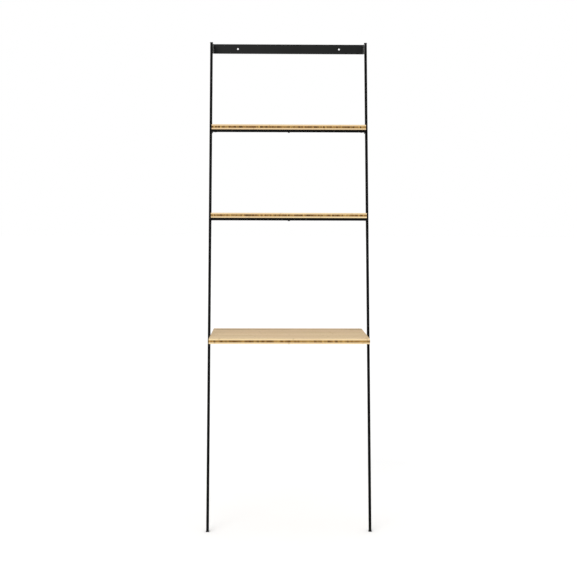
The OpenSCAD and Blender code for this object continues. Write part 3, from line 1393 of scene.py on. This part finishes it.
@dataclass
class Post:
    """One leaning post with its nylon foot, its cap and its weld beads."""

    side: Side
    tube: float = 10.0 * MM
    foot_width: float = 12.0 * MM
    foot_height: float = 4.0 * MM
    foot_ease: float = 0.7 * MM
    cap_width: float = 11.0 * MM
    cap_height: float = 2.5 * MM
    cap_ease: float = 0.9 * MM
    corner: float = 1.8 * MM
    rim_ease: float = 0.3 * MM
    plug_width: float = 7.5 * MM
    plug_length: float = 11.5 * MM
    fin_pitch: float = 2.2 * MM
    fin_margin: float = 1.0 * MM
    fin_root: float = 0.8
    bead_leg: float = 3.0 * MM
    bead_height: float = 7.5 * MM
    bead_drop: float = 1.5 * MM
    bead_offset: float = 1.05 * MM
    bead_rod: float = 0.72
    bead_root: float = 0.87
    bead_end: float = 0.6
    ripples: int = 7

    def node(self, part: str) -> str:
        """The full name of one of the post's CAD nodes."""
        return f"{self.side.name.lower()}_{part}"

    def build(self, paints: Paints) -> None:
        """Models the foot, cap and beads, and paints the tube.

        Args:
            paints: The object's materials.
        """
        paints.cover(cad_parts[self.node("post")], Slot.STEEL)
        self._foot().dress(paints, Slot.NYLON, self.node("foot"))
        self._cap().dress(paints, Slot.NYLON, self.node("post_cap"))
        self._beads().dress(paints, Slot.STEEL, self.node("weld_beads"))

    def _plugged_pad(self, name: str, width: float, height: float, ease: float) -> Piece:
        """A square pad on the Z axis, with a finned plug that leans above it.

        Args:
            name: The piece's name.
            width: The pad's width.
            height: The pad's height.
            ease: The rounding of the edge that shows.

        Returns:
            The finished piece, with its pad's outer face at zero.
        """
        half = Vector((width / 2, width / 2, 0.0))
        pad = Piece.block(name, -half, half + Vector((0.0, 0.0, height)))
        pad.ease(lambda middle, along: abs(along.z) > 0.9, self.corner, 5)
        pad.ease(lambda middle, along: middle.z < ON_PLANE, ease, 3)
        pad.ease(lambda middle, along: middle.z > height - ON_PLANE, self.rim_ease, 2)
        inset = (width - self.plug_width) / 2 - self.rim_ease
        pad.draw_out(lambda centre, normal: normal.z > 0.99, inset, self.plug_length)
        low, high = height + self.fin_margin, height + self.plug_length - self.fin_margin
        pad.groove(low, high, self.fin_pitch, self.plug_width, self.fin_root)
        for vertex in pad.thing.data.vertices:
            vertex.co.y += max(0.0, vertex.co.z - height) * math.tan(LEAN)
        return pad

    def _foot(self) -> Piece:
        """Models the foot under the post.

        Returns:
            The finished foot.
        """
        low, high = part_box(self.node("foot"))
        name = self.node("nylon_foot")
        foot = self._plugged_pad(name, self.foot_width, self.foot_height, self.foot_ease)
        centre = ((low.x + high.x) / 2, low.y + self.foot_width / 2, low.z)
        return foot.move(turned(centre)).smooth(40.0)

    def _cap(self) -> Piece:
        """Models the cap on the post's top: the same plugged pad, turned over.

        Returns:
            The finished cap.
        """
        low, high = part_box(self.node("post_cap"))
        name = self.node("nylon_cap")
        cap = self._plugged_pad(name, self.cap_width, self.cap_height, self.cap_ease)
        centre = ((low.x + high.x) / 2, high.y - self.cap_width / 2, high.z)
        return cap.move(turned(centre, 180.0, "X")).smooth(40.0)

    def _bead(self) -> Piece:
        """Models one rippled weld bead, upright and centred on the origin.

        Returns:
            The finished bead.
        """
        half = self.bead_height / 2
        bead = Piece.rod("bead", self.bead_rod * self.bead_leg, -half, half, 20)
        bead.groove(-half, half, self.bead_height / self.ripples, self.bead_leg, self.bead_root)
        bead.pick_faces(lambda centre, normal: abs(normal.z) > 0.99)
        bead.scale(self.bead_end, self.bead_end, 0.0)
        return bead.rest()

    def _beads(self) -> Piece:
        """Models the beads in front of and behind the post at each level.

        Returns:
            All of them as one piece.
        """
        placings = []
        low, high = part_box(self.node("post"))
        face = (low.x if self.side is Side.RIGHT else high.x) + self.side.value * self.bead_offset
        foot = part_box(self.node("foot"))[0].y + self.foot_width / 2
        depth = self.tube / 2 / math.cos(LEAN) + self.bead_offset
        for prefix in ("upper", "middle", "desk"):
            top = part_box(f"{prefix}_{self.side.name.lower()}_arm")[1].z
            height = top - self.bead_height / 2 - self.bead_drop
            middle = foot + (height - self.foot_height) * math.tan(LEAN)
            for sign in (-1, 1):
                place = (face, middle + sign * depth, height)
                placings.append(turned(place, -math.degrees(LEAN), "X"))
        return self._bead().spread(placings, self.node("weld_beads_rippled")).smooth(60.0)


@dataclass
class WallBracket:
    """The bent steel strip between the post tops, with its bolts and the posts' bushes."""

    node: str = "wall_bracket"
    ease: float = 0.35 * MM
    bolt: ButtonBolt = field(default_factory=ButtonBolt)
    plate: float = 3.0 * MM
    socket_turn: float = 23.0

    def build(self, paints: Paints) -> None:
        """Models the strip and the bolts, and paints the bushes.

        Args:
            paints: The object's materials.
        """
        strip = Piece.from_node(self.node, "wall_bracket_pressed")
        strip.ease_sharp(self.ease, 2).smooth()
        strip.dress(paints, Slot.STEEL, self.node)
        # The strip takes the coat that is painted lighter, with a painted sheen on its inward faces.
        paints.cover(strip.thing, Slot.STEEL, painted_lit_coat=True)
        self._bolts(paints)
        paints.cover(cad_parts["post_bushes"], Slot.ZINC)

    def _bolts(self, paints: Paints) -> None:
        """Puts two bolts through each wing, their heads on its inner face.

        Args:
            paints: The object's materials.
        """
        low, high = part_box("bracket_bolts")
        radius = self.bolt.head_radius
        places = ((low.y + radius, low.z + radius), (high.y - radius, high.z - radius))
        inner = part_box(self.node)[1].x - self.plate
        placings = [
            turned((side.value * inner, y, z), -side.value * 90.0, "Y")
            @ Matrix.Rotation(math.radians(self.socket_turn * index), 4, "Z")
            for side in Side
            for index, (y, z) in enumerate(places)
        ]
        bolts = self.bolt.model().spread(placings, "bracket_button_bolts")
        bolts.dress(paints, Slot.SCREWS, "bracket_bolts")


# ---- Studio ----


@dataclass
class Studio:
    """The floor, the light and the camera. None of it belongs to the object."""

    floor_radius: float = 60.0
    dome: float = 1.0
    sun: float = 1.5
    sun_softness: float = 35.0
    sun_height: float = 22.0
    sun_swing: float = -24.0
    lens: float = 72.5
    sensor: float = 36.0
    camera_place: tuple[float, float, float] = (-0.0716, -4.4152, 1.1633)
    camera_dip: float = 3.59
    camera_swing: float = 0.92
    camera_roll: float = 0.145

    def build(self) -> None:
        """Sets up the whole studio."""
        self._camera()
        self._floor()
        self._light()
        bpy.context.scene.view_settings.view_transform = "Standard"

    def _camera(self) -> None:
        """The camera, a little above the middle shelf and looking slightly down."""
        data = bpy.data.cameras.new("camera")
        data.lens = self.lens
        data.sensor_width = self.sensor
        data.clip_end = 4 * self.floor_radius
        camera = bpy.data.objects.new("camera", data)
        bpy.context.scene.collection.objects.link(camera)
        camera.matrix_world = (
            Matrix.Translation(self.camera_place)
            @ Matrix.Rotation(math.radians(-self.camera_swing), 4, "Z")
            @ Matrix.Rotation(math.radians(90.0 - self.camera_dip), 4, "X")
            @ Matrix.Rotation(math.radians(self.camera_roll), 4, "Z")
        )
        bpy.context.scene.camera = camera

    def _floor(self) -> None:
        """A wide pale floor."""
        leave_all()
        bpy.ops.mesh.primitive_circle_add(vertices=96, radius=self.floor_radius, fill_type="NGON")
        floor = bpy.context.object
        floor.name = "studio_floor"
        floor.data.materials.append(StudioFloor().material())

    def _light(self) -> None:
        """A white dome and one broad, soft key light from the front left."""
        world = bpy.data.worlds.new("dome")
        world.use_nodes = True
        world.node_tree.nodes["Background"].inputs["Color"].default_value = (1.0, 1.0, 1.0, 1.0)
        world.node_tree.nodes["Background"].inputs["Strength"].default_value = self.dome
        bpy.context.scene.world = world
        data = bpy.data.lights.new("key", "SUN")
        data.energy = self.sun
        data.angle = math.radians(self.sun_softness)
        key = bpy.data.objects.new("key", data)
        bpy.context.scene.collection.objects.link(key)
        key.rotation_euler = (
            math.radians(90.0 - self.sun_height),
            0.0,
            math.radians(self.sun_swing),
        )


def main() -> None:
    """Builds the studio and every sub-assembly in order."""
    Studio().build()
    paints = Paints()
    # The first tone makes the front strip palest, a painted highlight along the desk's front edge.
    front_tones = ((0.0, 0.0), (0.6, 0.6), (0.68, 0.75))
    back_tones = ((0.73, 0.7), (0.86, 1.0), (0.91, 1.0), (0.97, 0.65))
    desk = BambooBoard("desk_board", "desk", 5, front_tones + back_tones)
    levels = (
        # The upper shelf's front strip is set pale, a painted highlight along its front edge.
        Level("upper", BambooBoard("upper_shelf_board", "upper_shelf", 11, ((0.0, 0.2),))),
        Level("middle", BambooBoard("middle_shelf_board", "middle_shelf", 23)),
        Level("desk", desk, ("front_rail", "back_rail")),
    )
    for level in levels:
        level.build(paints)
        log.info("built the %s level", level.prefix)
    for side in Side:
        Post(side).build(paints)
        log.info("built the %s post", side.name.lower())
    WallBracket().build(paints)
    log.info("built the wall bracket")


if __name__ == "__main__":
    main()
